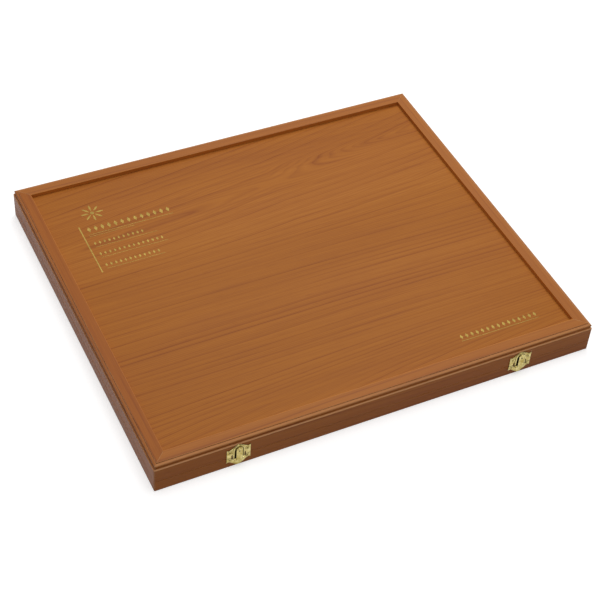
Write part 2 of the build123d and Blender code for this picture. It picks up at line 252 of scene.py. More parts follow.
veneerLook = {
    "turn": 0.0,                  # degrees from the grain to the x axis
    "shift": (0.0, 0.0, 0.0),
    "arches": True,
    "lineEvery": 0.0058,          # metres between growth lines
    "warp": 0.012,                # metres by which slow bends move them
    "crowd": 0.0030,              # uneven spacing
    "wobble": 0.0007,
    "lineShade": 0.30,            # each shade is a step down the stops
    "fineShade": 0.15,
    "bandShade": 0.20,
    "streakShade": 0.105,
    "fibreShade": 0.14,
    "poreShade": 0.10,
    "poreRange": (0.64, 0.74),
    "level": 0.62,                # mean tone, 0 to 1 along the stops
    "stops": [
        (0.00, shade("663418")),
        (0.35, shade("8d5022")),
        (0.62, shade("a26327")),
        (1.00, shade("b67936")),
    ],
    "blush": (0.99, 0.98, 1.10),  # tint of the pinker patches
    "blushRange": (0.45, 0.68),
    "wearAndHighlightShade": shade("c08a55"),
    "wearAndHighlightShare": 0.45,
    "wearAndHighlightReach": 0.0009,
    "wearAndHighlightRange": (0.02, 0.20),    # turn of the edge's normal, from no wear and highlight to full
    "wearAndHighlightPatches": (0.3, 0.6, 0.45, 1.0),  # from the noise's low and high to the least and full wear and highlight
    "bevel": 0.0004,
    "gloss": 0.40,
    "glossSway": 0.22,
    "shine": 0.08,
    "relief": 0.00002,
    "reliefShare": 0.7,
    "lineDepth": 0.5,             # as shares of the relief
    "poreDepth": 0.8,
}

railLook = dict(
    veneerLook,
    arches=False,
    lineEvery=0.0046,
    warp=0.010,
    crowd=0.0015,
    wobble=0.0006,
    fineShade=0.05,
    bandShade=0.26,
    stops=[
        (0.00, shade("5c2b14")),
        (0.35, shade("864921")),
        (0.62, shade("9d5c25")),
        (1.00, shade("b07232")),
    ],
    blush=(1.0, 0.98, 1.08),
    wearAndHighlightShade=shade("d9a878"),
    wearAndHighlightShare=0.55,
    paintedHighlight=(0.62, 0.40),          # share of the painted highlight on the moulding's ledge and bead
    bevel=0.0006,
    relief=0.00003,
)

boardLook = dict(
    veneerLook,
    arches=False,
    lineEvery=0.009,
    lineShade=0.22,
    stops=[
        (0.00, shade("9a7448")),
        (0.35, shade("b8935f")),
        (0.62, shade("c9a672")),
        (1.00, shade("d8ba88")),
    ],
    wearAndHighlightShade=shade("dcc39a"),
    wearAndHighlightShare=0.2,
    gloss=0.62,
)


def ringDistance(desk, side, sunk):
    squares = desk.math("ADD", desk.math("MULTIPLY", side, side), desk.math("MULTIPLY", sunk, sunk))
    return desk.math("SQRT", squares)


def archField(desk, along, across, figure):
    bend = desk.spread(across, figure["slantFrom"], figure["slantTo"], 0.0, figure["slant"])
    slant = desk.math("MULTIPLY", bend, desk.math("SUBTRACT", along, figure["slantAbout"]))
    side = desk.math("SUBTRACT", desk.math("SUBTRACT", across, figure["axis"]), slant)
    sunk = desk.math("MULTIPLY_ADD", along, figure["depthSlope"], figure["depth"])
    sunk = desk.math("MAXIMUM", sunk, figure["shallowest"])
    sunk = desk.math("MINIMUM", sunk, figure["deepest"])
    nearFront = desk.spread(across, figure["frontFrom"], figure["frontTo"])
    slope = desk.math("MULTIPLY", nearFront, figure["frontSlope"])
    start = desk.math("SUBTRACT", along, figure["frontStart"])
    return desk.math("MULTIPLY_ADD", slope, start, ringDistance(desk, side, sunk))


def growthField(desk, spot, look):
    # a value that rises across the grain; its steps are the growth lines
    along, across, depth = desk.separate(spot)
    if look["arches"]:
        field = archField(desk, along, across, archFigure)
    else:
        side = desk.math("ADD", across, plainFigure["beside"])
        sunk = desk.math("ADD", depth, plainFigure["below"])
        field = ringDistance(desk, side, sunk)
    for key in ("warp", "crowd", "wobble"):
        bend = desk.noise(spot, *woodNoise[key])
        field = desk.math("MULTIPLY_ADD", bend, look[key] * 2, field)
    return field


def growthLines(desk, spot, field, look):
    # the lines, each with a strength that changes along it, and the fine lines between them
    turns = desk.math("DIVIDE", field, look["lineEvery"])
    line = desk.ramp(desk.math("FRACT", turns), greys(growthLine["shape"]))
    along = desk.math("MULTIPLY", desk.separate(spot)[0], growthLine["cells"])
    number = desk.math("MULTIPLY", desk.math("FLOOR", turns), growthLine["apart"])
    lineSpot = desk.add("ShaderNodeCombineXYZ", {0: along, 1: number}).outputs[0]
    strength = desk.spread(desk.noise(lineSpot, (1, 1, 1)), *growthLine["fading"])
    line = desk.math("MULTIPLY", line, strength)
    fineTurns = desk.math("DIVIDE", field, look["lineEvery"] / growthLine["finer"])
    fineLine = desk.ramp(desk.math("FRACT", fineTurns), greys(growthLine["fineShape"]))
    return line, fineLine


# painted highlight on the moulding's ledge and bead, as bands at given heights joined to the edge mask
def paintedHighlightShare(desk, point, wearAndHighlight, shares):
    height = desk.separate(point)[2]
    for (below, reach), share in zip(moulding["highlightBands"], shares):
        away = desk.math("ABSOLUTE", desk.math("SUBTRACT", height, moulding["rim"] - below))
        wearAndHighlight = desk.math("MAXIMUM", wearAndHighlight, desk.spread(away, 0.0, reach, share, 0.0))
    return wearAndHighlight


def wallShare(desk, point):
    # 1 on the walls round the sunk field, and 0 elsewhere
    x, y, z = desk.separate(point)
    overX = desk.math("SUBTRACT", desk.math("ABSOLUTE", x), moulding["wallX"])
    overY = desk.math("SUBTRACT", desk.math("ABSOLUTE", y), moulding["wallY"])
    inside = desk.spread(desk.math("MAXIMUM", overX, overY), *moulding["wallRange"], 1.0, 0.0)
    foot = moulding["wallFoot"] - moulding["footMargin"]
    return desk.math("MULTIPLY", inside, desk.math("GREATER_THAN", z, foot))


def woodMaterial(name, look):
    material, desk = newMaterial(name)
    point = desk.objectSpot()
    mapping = {"Vector": point, "Location": look["shift"], "Rotation": (0, 0, radians(look["turn"]))}
    spot = desk.add("ShaderNodeMapping", mapping).outputs[0]
    line, fineLine = growthLines(desk, spot, growthField(desk, spot, look), look)

    band = desk.noise(spot, *woodNoise["band"])
    fibre = desk.noise(spot, *woodNoise["fibre"])
    streak = desk.noise(spot, *woodNoise["streak"])
    pore = desk.spread(desk.noise(spot, *woodNoise["pore"]), *look["poreRange"])
    tone = desk.sway(look["level"], band, look["bandShade"] * 2)
    tone = desk.sway(tone, fibre, look["fibreShade"] * 2)
    tone = desk.sway(tone, streak, look["streakShade"] * 2)
    tone = desk.math("MULTIPLY_ADD", line, -look["lineShade"], tone)
    tone = desk.math("MULTIPLY_ADD", fineLine, -look["fineShade"], tone)
    tone = desk.math("MULTIPLY_ADD", pore, -look["poreShade"], tone, clamp=True)
    colour = desk.ramp(tone, look["stops"])
    patch = desk.spread(desk.noise(spot, *woodNoise["patch"]), *look["blushRange"])
    colour = desk.mix(patch, colour, desk.mix(1.0, colour, look["blush"], "MULTIPLY"))

    # edges lighter, partly rubbed and partly a painted highlight
    wearAndHighlight = desk.edges(desk.rounded(look["wearAndHighlightReach"], samples=6), *look["wearAndHighlightRange"])
    wearAndHighlight = desk.math("MULTIPLY", wearAndHighlight, look["wearAndHighlightShare"])
    patches = desk.spread(desk.noise(spot, *woodNoise["wear"]), *look["wearAndHighlightPatches"])
    wearAndHighlight = desk.math("MULTIPLY", wearAndHighlight, patches)
    # painted highlight on the moulding's ledge and bead
    if "paintedHighlight" in look:
        wearAndHighlight = paintedHighlightShare(desk, point, wearAndHighlight, look["paintedHighlight"])
        # painted light on the walls round the sunk field, with no edge lightening there
        onWall = wallShare(desk, point)
        colour = desk.mix(onWall, colour, desk.mix(1.0, colour, moulding["wallPaintedLight"], "MULTIPLY"))
        wearAndHighlight = desk.math("MULTIPLY", wearAndHighlight, desk.math("SUBTRACT", 1.0, onWall))
    colour = desk.mix(wearAndHighlight, colour, look["wearAndHighlightShade"])

    gloss = desk.sway(look["gloss"], fibre, look["glossSway"])
    surface = desk.math("MULTIPLY_ADD", pore, -look["poreDepth"], fibre)
    surface = desk.math("MULTIPLY_ADD", line, -look["lineDepth"], surface)
    bump = desk.bump(surface, look, desk.rounded(look["bevel"]))
    finishSurface(desk, colour, gloss, bump, Specular_IOR_Level=look["shine"])
    return material


sideways = dict(railLook, turn=90.0)
veneer = woodMaterial("stainedVeneer", veneerLook)
railsAlongX = woodMaterial("railAlongX", railLook)
railsAlongY = woodMaterial("railAlongY", dict(sideways, shift=(0.3, 0.1, 0.02)))
# the left rails: a copy painted darker as painted shade, with less of the painted highlight
shadedLeftRails = woodMaterial("railLeftPaintedShade", dict(
    sideways,
    shift=(0.17, 0.33, 0.05),
    level=0.54,
    paintedHighlight=(0.30, 0.14),
))
plainBoard = woodMaterial("plainBoard", boardLook)
print("wood made")

# brass

brassLook = {
    "bright": shade("d4c687"),
    "dull": shade("a8944a"),
    "tarnishAndShade": shade("43360f"),
    "rubbedAndHighlight": shade("efe4b4"),    # edges that hands have kept bright, and a painted highlight on them
    "rubbedAndHighlightShare": 0.75,
    "rubbedAndHighlightRange": (0.03, 0.2),
    # tarnish and painted shade in close corners, and painted shadow round and under raised pieces: reach,
    # openness from none to full, and share
    "close": (0.0012, (0.85, 0.35), 0.80),
    "wide": (0.0035, (0.78, 0.30), 0.85),
    "cloudRange": (0.35, 0.65),
    "gloss": 0.30,
    "glossSway": 0.16,
    "bevel": 0.00022,
    "relief": 0.000012,
    "reliefShare": 0.5,
    "brushedDepth": 0.5,
    # each noise: its cells in a metre along the axes, and its detail
    "cloud": ((260, 260, 260), 3.0),
    "brushed": ((300, 2600, 2600), 2.0),
    "grit": ((1900, 1900, 1900), 2.0),
}


def brassMaterial(name, look):
    material, desk = newMaterial(name)
    spot = desk.objectSpot()
    cloud = desk.noise(spot, *look["cloud"])
    brushed = desk.noise(spot, *look["brushed"])
    grit = desk.noise(spot, *look["grit"])
    soft = desk.rounded(look["bevel"])
    colour = desk.mix(desk.spread(cloud, *look["cloudRange"]), look["dull"], look["bright"])
    # tarnish and painted shade in hollows, painted shadow beside raised pieces
    tarnishAndShade = desk.math("MAXIMUM", desk.hollows(*look["close"]), desk.hollows(*look["wide"]))
    colour = desk.mix(tarnishAndShade, colour, look["tarnishAndShade"])
    # edges lighter: rubbed bright and a painted highlight
    edge = desk.math("MULTIPLY", desk.edges(soft, *look["rubbedAndHighlightRange"]), look["rubbedAndHighlightShare"])
    colour = desk.mix(edge, colour, look["rubbedAndHighlight"])
    gloss = desk.sway(look["gloss"], cloud, look["glossSway"])
    height = desk.math("MULTIPLY_ADD", brushed, look["brushedDepth"], grit)
    bump = desk.bump(height, look, soft)
    finishSurface(desk, colour, gloss, bump, Metallic=1.0)
    return material


brass = brassMaterial("brassPlate", brassLook)
# a darker brass for the nails
darkerNailBrass = brassMaterial("darkerNailBrass", dict(
    brassLook,
    bright=shade("8a7638"),
    dull=shade("66552a"),
    tarnishAndShade=shade("2a210c"),
    rubbedAndHighlight=shade("b5a566"),
    gloss=0.42,
))
foil = brassMaterial("goldFoil", dict(
    brassLook,
    bright=shade("9f8645"),
    dull=shade("8b7239"),
    tarnishAndShade=shade("755a2a"),
    rubbedAndHighlight=shade("9f8645"),
    gloss=0.50,
))
print("brass made")

# trays

trayLook = {
    "base": shade("2b2c2e"),
    "dust": shade("a59c94"),
    "dustShare": 0.5,
    "cloudRange": (0.42, 0.75),
    "speckRange": (0.45, 0.75),
    "gloss": 0.50,
    "dustGloss": 0.4,
    "shine": 0.35,
    "bevel": 0.0005,
    "relief": 0.00004,
    "reliefShare": 0.6,
    # each noise: its cells in a metre, detail and roughness
    "pebble": ((1500, 1500, 1500), 2.0, 0.5),
    "cloud": ((22, 22, 22), 4.0, 0.6),
    "speck": ((900, 900, 900), 3.0, 0.7),
}


def trayMaterial(look):
    material, desk = newMaterial("trayPlastic")
    spot = desk.objectSpot()
    pebble = desk.noise(spot, *look["pebble"])
    clouds = desk.spread(desk.noise(spot, *look["cloud"]), *look["cloudRange"])
    specks = desk.spread(desk.noise(spot, *look["speck"]), *look["speckRange"])
    dust = desk.math("MULTIPLY", clouds, specks)
    colour = desk.mix(desk.math("MULTIPLY", dust, look["dustShare"]), look["base"], look["dust"])
    gloss = desk.math("MULTIPLY_ADD", dust, look["dustGloss"], look["gloss"])
    bump = desk.bump(pebble, look, desk.rounded(look["bevel"]))
    finishSurface(desk, colour, gloss, bump, Specular_IOR_Level=look["shine"])
    return material


# pastel sticks: where they lie, and their chalk

stickRack = {
    "columns": 24,
    "rows": 4,
    "size": (0.009, 0.065, 0.009),
    "eased": {"offset": 0.0007, "segments": 2, "profile": 0.6},
    "first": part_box("pastel_row_1"),
    "last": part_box("pastel_row_4"),
    "tilt": 0.15,                 # degrees of play in a slot
    "seed": 4,
    # stick colours from left to right, one list for each row from front to back
    "palette": [
        ["f4f1ea", "e9e2d2", "d9d6d0", "b9b6b2", "8f8c8a", "5f5d5e", "2b2a2c", "7a5a44", "4f3627", "8e5a33"],
        ["f2e28c", "f4cf3f", "f2b02c", "ee8c2e", "e46a33", "d8442f", "c02c35", "8f2231", "b8492f", "d9835a"],
        ["f3c3cf", "ea8fae", "d85a92", "b63c86", "8a3f97", "5f4aa5", "3f4fa8", "2f62b5", "6a8fd0", "b7c7ea"],
        ["bfe0e8", "6cb9d6", "2f93bd", "1f7f94", "2b8a6b", "3f9a4c", "79b345", "b4c84e", "6f7f3a", "3f5a36"],
    ],
}
rackLow, rackHigh = stickRack["first"]
rackWidth = rackHigh.x - rackLow.x - stickRack["size"][0]
stickRack["columnPitch"] = rackWidth / (stickRack["columns"] - 1)
stickRack["rowPitch"] = (stickRack["last"][0].y - rackLow.y) / (stickRack["rows"] - 1)

chalkLook = {
    "level": 0.84,                # brightness of the darkest stick, as a share of its colour
    "unlike": 0.22,               # how much brighter the lightest one is
    "powderShade": 0.35,
    "pale": shade("efe8df"),
    "paleShare": 0.12,
    "paleRange": (0.45, 0.75),
    "gloss": 0.86,
    "glossRise": 0.1,
    "shine": 0.2,
    "sheen": 0.15,
    "bevel": 0.0003,
    "relief": 0.00008,
    "reliefShare": 0.8,
    "scratchDepth": 0.6,
    "powder": ((700, 700, 700), 4.0, 0.7),
    "cloud": ((90, 60, 90), 3.0, 0.5),
    "scratch": ((1600, 60, 1600), 2.0, 0.5),
}


def stickNumbers(desk, spot, rack):
    # column and row of the stick at a spot, both counted from 0
    low, high = rack["first"]
    along, across, depth = desk.separate(spot)
    firstEdge = low.x + rack["size"][0] / 2 - rack["columnPitch"] / 2
    column = desk.math("DIVIDE", desk.math("SUBTRACT", along, firstEdge), rack["columnPitch"])
    frontEdge = (low.y + high.y - rack["rowPitch"]) / 2
    row = desk.math("DIVIDE", desk.math("SUBTRACT", across, frontEdge), rack["rowPitch"])
    return desk.math("FLOOR", column), desk.math("FLOOR", row)


def chalkMaterial(rack, look):
    material, desk = newMaterial("chalkPastel")
    spot = desk.objectSpot()
    column, row = stickNumbers(desk, spot, rack)
    place = desk.math("DIVIDE", column, rack["columns"] - 1)
    rowColours = []
    for names in rack["palette"]:
        stops = [(i / (len(names) - 1), shade(name)) for i, name in enumerate(names)]
        rowColours.append(desk.ramp(place, stops))
    colour = rowColours[0]
    for number, rowColour in enumerate(rowColours[1:], 1):
        colour = desk.mix(desk.math("GREATER_THAN", row, number - 0.5), colour, rowColour)

    stickNumber = desk.math("MULTIPLY_ADD", row, rack["columns"], column)
    chance = desk.add("ShaderNodeTexWhiteNoise", {"W": stickNumber}, noise_dimensions="1D")
    powder = desk.noise(spot, *look["powder"])
    cloud = desk.noise(spot, *look["cloud"])
    scratch = desk.noise(spot, *look["scratch"])
    light = desk.math("MULTIPLY_ADD", chance.outputs["Value"], look["unlike"], look["level"])
    light = desk.sway(light, powder, look["powderShade"])
    grey = desk.add("ShaderNodeCombineColor", {0: light, 1: light, 2: light}).outputs[0]
    colour = desk.mix(1.0, colour, grey, "MULTIPLY")
    pale = desk.math("MULTIPLY", desk.spread(cloud, *look["paleRange"]), look["paleShare"])
    colour = desk.mix(pale, colour, look["pale"])
    height = desk.math("MULTIPLY_ADD", scratch, look["scratchDepth"], powder)
    bump = desk.bump(height, look, desk.rounded(look["bevel"]))
    rough = desk.math("MULTIPLY_ADD", powder, look["glossRise"], look["gloss"])
    finishSurface(desk, colour, rough, bump, Specular_IOR_Level=look["shine"], Sheen_Weight=look["sheen"])
    return material


foamLook = {
    "base": shade("dedad2"),
    "dull": shade("d0cabf"),
    "pitPaintedShade": shade("8d867a"),
    "pitPaintedShadeShare": 0.35,
    "pitPaintedShadeRange": (0.45, 0.1),
    "cloudRange": (0.3, 0.7),
    "gloss": 0.86,
    "glossRise": 0.1,
    "shine": 0.2,
    "sheen": 0.3,
    "relief": 0.00025,
    "reliefShare": 0.7,
    "bubbles": (620, 620, 620),   # bubbles in a metre
    "cloud": ((14, 14, 14), 4.0, 0.6),
}


def foamMaterial(look):
    material, desk = newMaterial("foamSheet")
    spot = desk.objectSpot()
    scaled = desk.vector("MULTIPLY", spot, look["bubbles"])
    bubbles = desk.add("ShaderNodeTexVoronoi", {"Vector": scaled, "Scale": 1.0}).outputs["Distance"]
    cloud = desk.noise(spot, *look["cloud"])
    colour = desk.mix(desk.spread(cloud, *look["cloudRange"]), look["base"], look["dull"])
    # painted shade in the foam's open cells
    pitPaintedShade = desk.math("MULTIPLY", desk.spread(bubbles, *look["pitPaintedShadeRange"]), look["pitPaintedShadeShare"])
    colour = desk.mix(pitPaintedShade, colour, look["pitPaintedShade"])
    bump = desk.bump(bubbles, look)
    rough = desk.math("MULTIPLY_ADD", cloud, look["glossRise"], look["gloss"])
    finishSurface(desk, colour, rough, bump, Specular_IOR_Level=look["shine"], Sheen_Weight=look["sheen"])
    return material


trayPlastic = trayMaterial(trayLook)
chalk = chalkMaterial(stickRack, chalkLook)
foamSheet = foamMaterial(foamLook)
print("inside finishes made")

# finishes onto the CAD pieces


def finishOf(name):
    if name == "lid_panel":
        return veneer
    if name in ("base_floor_panel", "tray_spacer_slats"):
        return plainBoard
    if name.startswith("pastel_tray"):
        return trayPlastic
    if name.startswith("pastel_row"):
        return chalk
    if name == "lid_foam_pad":
        return foamSheet
    if name.startswith(("hinge", "catch")):
        return brass
    if "front" in name or "back" in name:
        return railsAlongX
    return shadedLeftRails if "left" in name else railsAlongY


for name, piece in nodes.items():
    piece.data.materials.clear()
    piece.data.materials.append(finishOf(name))
print("finishes on")

# pieces


def newPiece(name, mesh, material=None):
    piece = bpy.data.objects.new(name, mesh)
    bpy.context.scene.collection.objects.link(piece)
    if material:
        mesh.materials.clear()
        mesh.materials.append(material)
    return piece


def meshFrom(builder, name, smooth=False):
    mesh = bpy.data.meshes.new(name)
    bmesh.ops.recalc_face_normals(builder, faces=builder.faces)
    builder.to_mesh(mesh)
    builder.free()
    for face in mesh.polygons:
        face.use_smooth = smooth
    return mesh


def boxBuilder(size):
    builder = bmesh.new()
    bmesh.ops.create_cube(builder, size=1.0)
    bmesh.ops.scale(builder, vec=size, verts=builder.verts)
    return builder


def closeRing(builder, ring, following):
    # faces between two rings of as many vertices
    for i in range(len(ring)):
        j = (i + 1) % len(ring)
        builder.faces.new((ring[i], ring[j], following[j], following[i]))


def plainMesh(piece, name):
    # the evaluated shape of an object with modifiers, as a mesh of its own
    bpy.context.view_layer.update()
    graph = bpy.context.evaluated_depsgraph_get()
    mesh = bpy.data.meshes.new_from_object(piece.evaluated_get(graph), depsgraph=graph)
    mesh.name = name
    return mesh


def gathered(name, parts):
    # several meshes, each with its own placing matrix, as one
    builder = bmesh.new()
    for mesh, matrix in parts:
        mesh.transform(matrix)
        builder.from_mesh(mesh)
    mesh = bpy.data.meshes.new(name)
    builder.to_mesh(mesh)
    builder.free()
    return mesh


# foam sheet in the lid

foamPad = {
    "box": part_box("lid_foam_pad"),
    "cells": (96, 84),
    "round": 0.0022,              # radius of its soft edges
    "roundLevels": (0.35, 0.7, 1.0),
    "corner": 0.006,
    "crown": 0.0006,              # how much thinner it is at its edges
    "crownPower": 6,              # higher for a flatter middle
    "dent": 0.00035,              # mark left by each stick
    "dentHalf": 0.034,            # half length of a mark
    "dentPower": 8,
}


def makeFoam(pad, rack):
    low, high = pad["box"]
    middle = (low + high) / 2
    half = (high - low) / 2
    columns, rows = pad["cells"]
    stickLow, stickHigh = rack["first"]
    builder = bmesh.new()

    def inset(u, v, level):
        # a point of the rounded sheet, u and v from -1 to 1, level 0 to 1 round its edge
        edge = pad["round"] * (1 - sin(level * pi / 2))
        x = u * (half.x - edge)
        y = v * (half.y - edge)
        overX = abs(x) - (half.x - pad["corner"])
        overY = abs(y) - (half.y - pad["corner"])
        if overX > 0 and overY > 0:
            reach = min(1.0, pad["corner"] / (overX**2 + overY**2) ** 0.5)
            x = (half.x - pad["corner"] + overX * reach) * (1 if x > 0 else -1)
            y = (half.y - pad["corner"] + overY * reach) * (1 if y > 0 else -1)
        return middle.x + x, middle.y + y

    def outline():
        ring = [(-1 + 2 * i / columns, -1) for i in range(columns)]
        ring += [(1, -1 + 2 * i / rows) for i in range(rows)]
        ring += [(1 - 2 * i / columns, 1) for i in range(columns)]
        ring += [(-1, 1 - 2 * i / rows) for i in range(rows)]
        return ring

    def crown(u, v):
        return pad["crown"] * (max(abs(u), abs(v)) ** pad["crownPower"])

    def dent(x, y):
        # marks of the sticks in the underside
        row = int((y - low.y) / (high.y - low.y) * rack["rows"])
        row = min(rack["rows"] - 1, max(0, row))
        rowMiddle = (stickLow.y + stickHigh.y) / 2 + row * rack["rowPitch"]
        along = max(0.0, 1 - (abs(y - rowMiddle) / pad["dentHalf"]) ** pad["dentPower"])
        fromStick = x - stickLow.x - rack["size"][0] / 2
        across = 0.5 + 0.5 * cos(2 * pi * fromStick / rack["columnPitch"])
        return pad["dent"] * along * across

    def sheet(way):
        grid = {}
        for i in range(columns + 1):
            for j in range(rows + 1):
                u = -1 + 2 * i / columns
                v = -1 + 2 * j / rows
                x, y = inset(u, v, 0)
                z = middle.z + way * (half.z - crown(u, v))
                if way < 0:
                    z += dent(x, y)
                grid[i, j] = builder.verts.new((x, y, z))
        for i in range(columns):
            for j in range(rows):
                corners = (grid[i, j], grid[i + 1, j], grid[i + 1, j + 1], grid[i, j + 1])
                builder.faces.new(corners)
        ring = [grid[i, 0] for i in range(columns)]
        ring += [grid[columns, j] for j in range(rows)]
        ring += [grid[columns - i, rows] for i in range(columns)]
        ring += [grid[0, rows - j] for j in range(rows)]
        return ring

    def edgeRing(way, level):
        ring = []
        for u, v in outline():
            x, y = inset(u, v, level)
            rise = half.z - crown(u, v) - pad["round"] * (1 - cos(level * pi / 2))
            ring.append(builder.verts.new((x, y, middle.z + way * rise)))
        return ring

    lower = sheet(-1)
    upper = sheet(1)
    rings = [lower]
    rings += [edgeRing(-1, level) for level in pad["roundLevels"]]
    rings += [edgeRing(1, level) for level in reversed(pad["roundLevels"])]
    rings.append(upper)
    for ring, following in zip(rings, rings[1:]):
        closeRing(builder, ring, following)
    return meshFrom(builder, "foamPad", smooth=True)


foam = newPiece("foamPad", makeFoam(foamPad, stickRack), foamSheet)
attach(foam, "lid")
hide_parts("lid_foam_pad")
print("foam pad made")

# copies of one shape on a grid


def copyGridTree():
    # each copy is turned a little, and all are joined and given a finish
    tree = bpy.data.node_groups.new("copyGrid", "GeometryNodeTree")
    tree.interface.new_socket("Geometry", in_out="OUTPUT", socket_type="NodeSocketGeometry")
    sockets = {
        "Shape": "Object",
        "Finish": "Material",
        "Columns": "Int",
        "Rows": "Int",
        "Column pitch": "Float",
        "Row pitch": "Float",
        "Play": "Float",
        "Seed": "Int",
    }
    for name, kind in sockets.items():
        tree.interface.new_socket(name, in_out="INPUT", socket_type="NodeSocket" + kind)
    desk = NodeDesk(tree)
    given = desk.add("NodeGroupInput").outputs
    width = desk.math("MULTIPLY", given["Column pitch"], desk.math("SUBTRACT", given["Columns"], 1))
    depth = desk.math("MULTIPLY", given["Row pitch"], desk.math("SUBTRACT", given["Rows"], 1))
    sizes = {"Size X": width, "Size Y": depth, "Vertices X": given["Columns"], "Vertices Y": given["Rows"]}
    points = desk.add("GeometryNodeMeshGrid", sizes).outputs["Mesh"]
    copied = desk.add("GeometryNodeObjectInfo", {"Object": given["Shape"]}).outputs["Geometry"]
    turn = desk.add("FunctionNodeRandomValue", data_type="FLOAT")
    desk.plug(turn.inputs[2], desk.math("MULTIPLY", given["Play"], -1.0))
    desk.plug(turn.inputs[3], given["Play"])
    desk.plug(turn.inputs["Seed"], given["Seed"])
    rotation = desk.add("ShaderNodeCombineXYZ", {2: turn.outputs[1]}).outputs[0]
    placed = {"Points": points, "Instance": copied, "Rotation": rotation}
    spreadOut = desk.add("GeometryNodeInstanceOnPoints", placed).outputs[0]
    joined = desk.add("GeometryNodeRealizeInstances", {0: spreadOut}).outputs[0]
    finishing = {"Geometry": joined, "Material": given["Finish"]}
    finished = desk.add("GeometryNodeSetMaterial", finishing).outputs[0]
    desk.add("NodeGroupOutput", {0: finished})
    return tree


copyGrid = copyGridTree()


def copies(shapeMesh, finish, columns, rows, columnPitch, rowPitch=0.0, play=0.0, seed=0):
    # a plain mesh of the copies, centred on the origin
    shape = newPiece("copiedShape", shapeMesh)
    carrier = newPiece("carrier", bpy.data.meshes.new("carrier"))
    modifier = carrier.modifiers.new("copies", "NODES")
    modifier.node_group = copyGrid
    values = {
        "Shape": shape,
        "Finish": finish,
        "Columns": columns,
        "Rows": rows,
        "Column pitch": columnPitch,
        "Row pitch": rowPitch,
        "Play": play,
        "Seed": seed,
    }
    for item in copyGrid.interface.items_tree:
        if item.in_out == "INPUT":
            modifier[item.identifier] = values[item.name]
    mesh = plainMesh(carrier, "copies")
    carrier.modifiers.clear()
    bpy.data.objects.remove(carrier)
    bpy.data.objects.remove(shape)
    return mesh


# pastel sticks, one in each slot


def stickMesh(rack):
    builder = boxBuilder(rack["size"])
    bmesh.ops.bevel(builder, geom=list(builder.edges), affect="EDGES", **rack["eased"])
    return meshFrom(builder, "stickShape")


def makeSticks(rack):
    low, high = rack["first"]
    top = rack["last"][1]
    mesh = copies(
        stickMesh(rack), chalk, rack["columns"], rack["rows"], rack["columnPitch"], rack["rowPitch"],
        radians(rack["tilt"]), rack["seed"],
    )
    middle = ((low.x + high.x) / 2, (low.y + top.y) / 2, (low.z + high.z) / 2)
    return newPiece("pastelSticks", gathered("pastelSticks", [(mesh, Matrix.Translation(middle))]), chalk)


sticks = makeSticks(stickRack)
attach(sticks, "base")
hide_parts("pastel_row_1", "pastel_row_2", "pastel_row_3", "pastel_row_4")
print("sticks made")

# screws of the hinges and nails of the catches

hingeScrews = {
    # radius and height of points down the side, from the top
    "profile": [(0, 0), (0.00155, 0), (0.00172, -0.0001), (0.001, -0.00075), (0.001, -0.0074), (0, -0.008)],
    "slot": (0.00045, 0.004, 0.0009),
    "spacing": 0.024,
    "apart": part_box("hinge_right_pin")[0].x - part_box("hinge_left_pin")[0].x,
    "segments": 24,
    "play": 1.4,                  # the slots stand at any angle
    "seed": 11,
}
catchNails = {
    "profile": [
        (0, -0.00006), (0.00032, -0.0001), (0.00058, -0.00022), (0.00072, -0.00038),
        (0.0005, -0.0004), (0.0005, -0.0054), (0, -0.006),
    ],
    "spacing": 0.0152,
    "apart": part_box("catch_right_stud")[0].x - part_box("catch_left_stud")[0].x,
    "segments": 14,
    "play": 0.0,
    "seed": 0,
}


def turnedMesh(profile, segments, name):
    # a shape turned about z
    builder = bmesh.new()
    angles = [2 * pi * i / segments for i in range(segments)]
    rings = []
    for radius, height in profile:
        if radius == 0:
            rings.append([builder.verts.new((0, 0, height))])
        else:
            rings.append([builder.verts.new((radius * cos(a), radius * sin(a), height)) for a in angles])
    for upper, lower in zip(rings, rings[1:]):
        for i in range(segments):
            j = (i + 1) % segments
            corners = [upper[i % len(upper)], upper[j % len(upper)]]
            corners += [lower[j % len(lower)], lower[i % len(lower)]]
            builder.faces.new(list(dict.fromkeys(corners)))
    return meshFrom(builder, name)


def screwMesh(look):
    body = newPiece("screwBody", turnedMesh(look["profile"], look["segments"], "screwBody"))
    cutter = newPiece("slotCutter", meshFrom(boxBuilder(look["slot"]), "slotCutter"))
    cut = body.modifiers.new("slot", "BOOLEAN")
    cut.operation = "DIFFERENCE"
    cut.solver = "EXACT"
    cut.object = cutter
    mesh = plainMesh(body, "screw")
    body.modifiers.clear()
    bpy.data.objects.remove(body)
    bpy.data.objects.remove(cutter)
    return mesh


def makeFasteners(name, node, shapeMesh, look, facing, body, finish):
    # two groups of two, at the ends of the CAD node's box, heads flush with its facing side
    low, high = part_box(node)
    middle = (low + high) / 2
    headRadius = (high.x - low.x - look["apart"] - look["spacing"]) / 2
    fromEnd = headRadius + look["spacing"] / 2
    parts = []
    for x in (low.x + fromEnd, high.x - fromEnd):
        place = {
            "up": Matrix.Translation((x, middle.y, high.z)),
            "down": Matrix.Translation((x, middle.y, low.z)) @ Matrix.Rotation(pi, 4, "X"),
            "front": Matrix.Translation((x, low.y, middle.z)) @ Matrix.Rotation(pi / 2, 4, "X"),
        }[facing]
        mesh = copies(
            shapeMesh.copy(), finish, 2, 1, look["spacing"], play=look["play"], seed=look["seed"]
        )
        parts.append((mesh, place))
    piece = newPiece(name, gathered(name, parts), finish)
    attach(piece, body)
    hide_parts(node)


